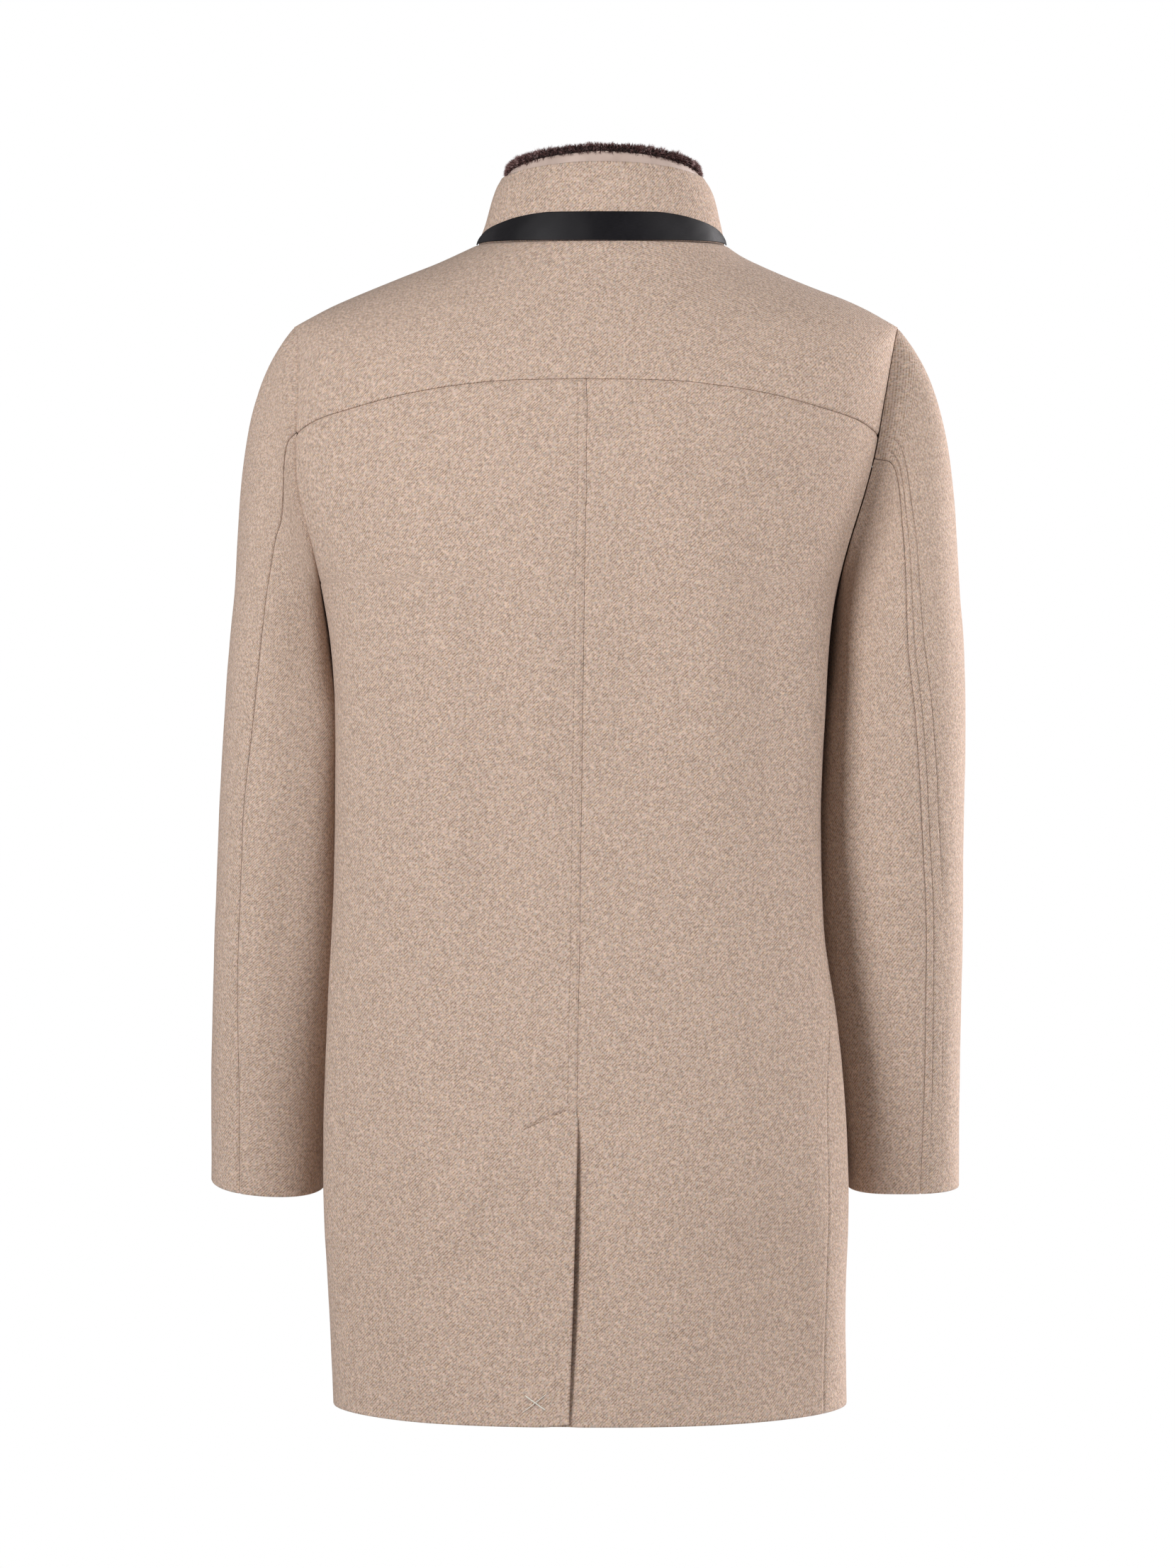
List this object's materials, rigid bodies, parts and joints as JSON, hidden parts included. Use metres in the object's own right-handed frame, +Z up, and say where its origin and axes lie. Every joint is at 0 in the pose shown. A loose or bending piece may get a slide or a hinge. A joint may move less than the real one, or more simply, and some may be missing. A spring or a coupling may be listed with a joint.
{
  "type": "winter coat",
  "caption": "Straight wool winter coat in its worn, hollow form, with set-in sleeves, back yoke, centre-back vent, stand collar with a dark satin crescent, and a fur-lined inner collar.",
  "frame": {"origin": "middle of the neck, a few millimetres under the back neck seam, where the wearer's neck and shoulders carry the coat", "axes": "+Z up along the centre back, -Y the way the front faces, +X to the wearer's left"},
  "size_m": [0.5962, 0.283, 0.9881],
  "materials": {
    "wool_twill": "matt napped wool twill, mottled beige",
    "dark_satin": "dark satin",
    "smooth_cloth": "smooth beige cloth with a low sheen",
    "brown_fur": "short dense pile, dark brown with paler tips",
    "button": "brown, low gloss"
  },
  "bodies": {
    "root": {"back_left": "wool_twill", "back_right": "wool_twill", "back_yoke": "wool_twill", "front_left": "wool_twill", "front_right": "wool_twill", "sleeve_left_top": "wool_twill", "sleeve_left_under": "wool_twill", "sleeve_right_top": "wool_twill", "sleeve_right_under": "wool_twill", "collar": "wool_twill", "collar_band": "dark_satin", "inner_collar": "smooth_cloth", "fur_trim": "brown_fur", "button_1": "button", "button_2": "button", "button_3": "button", "button_4": "button"}
  },
  "joints": []
}
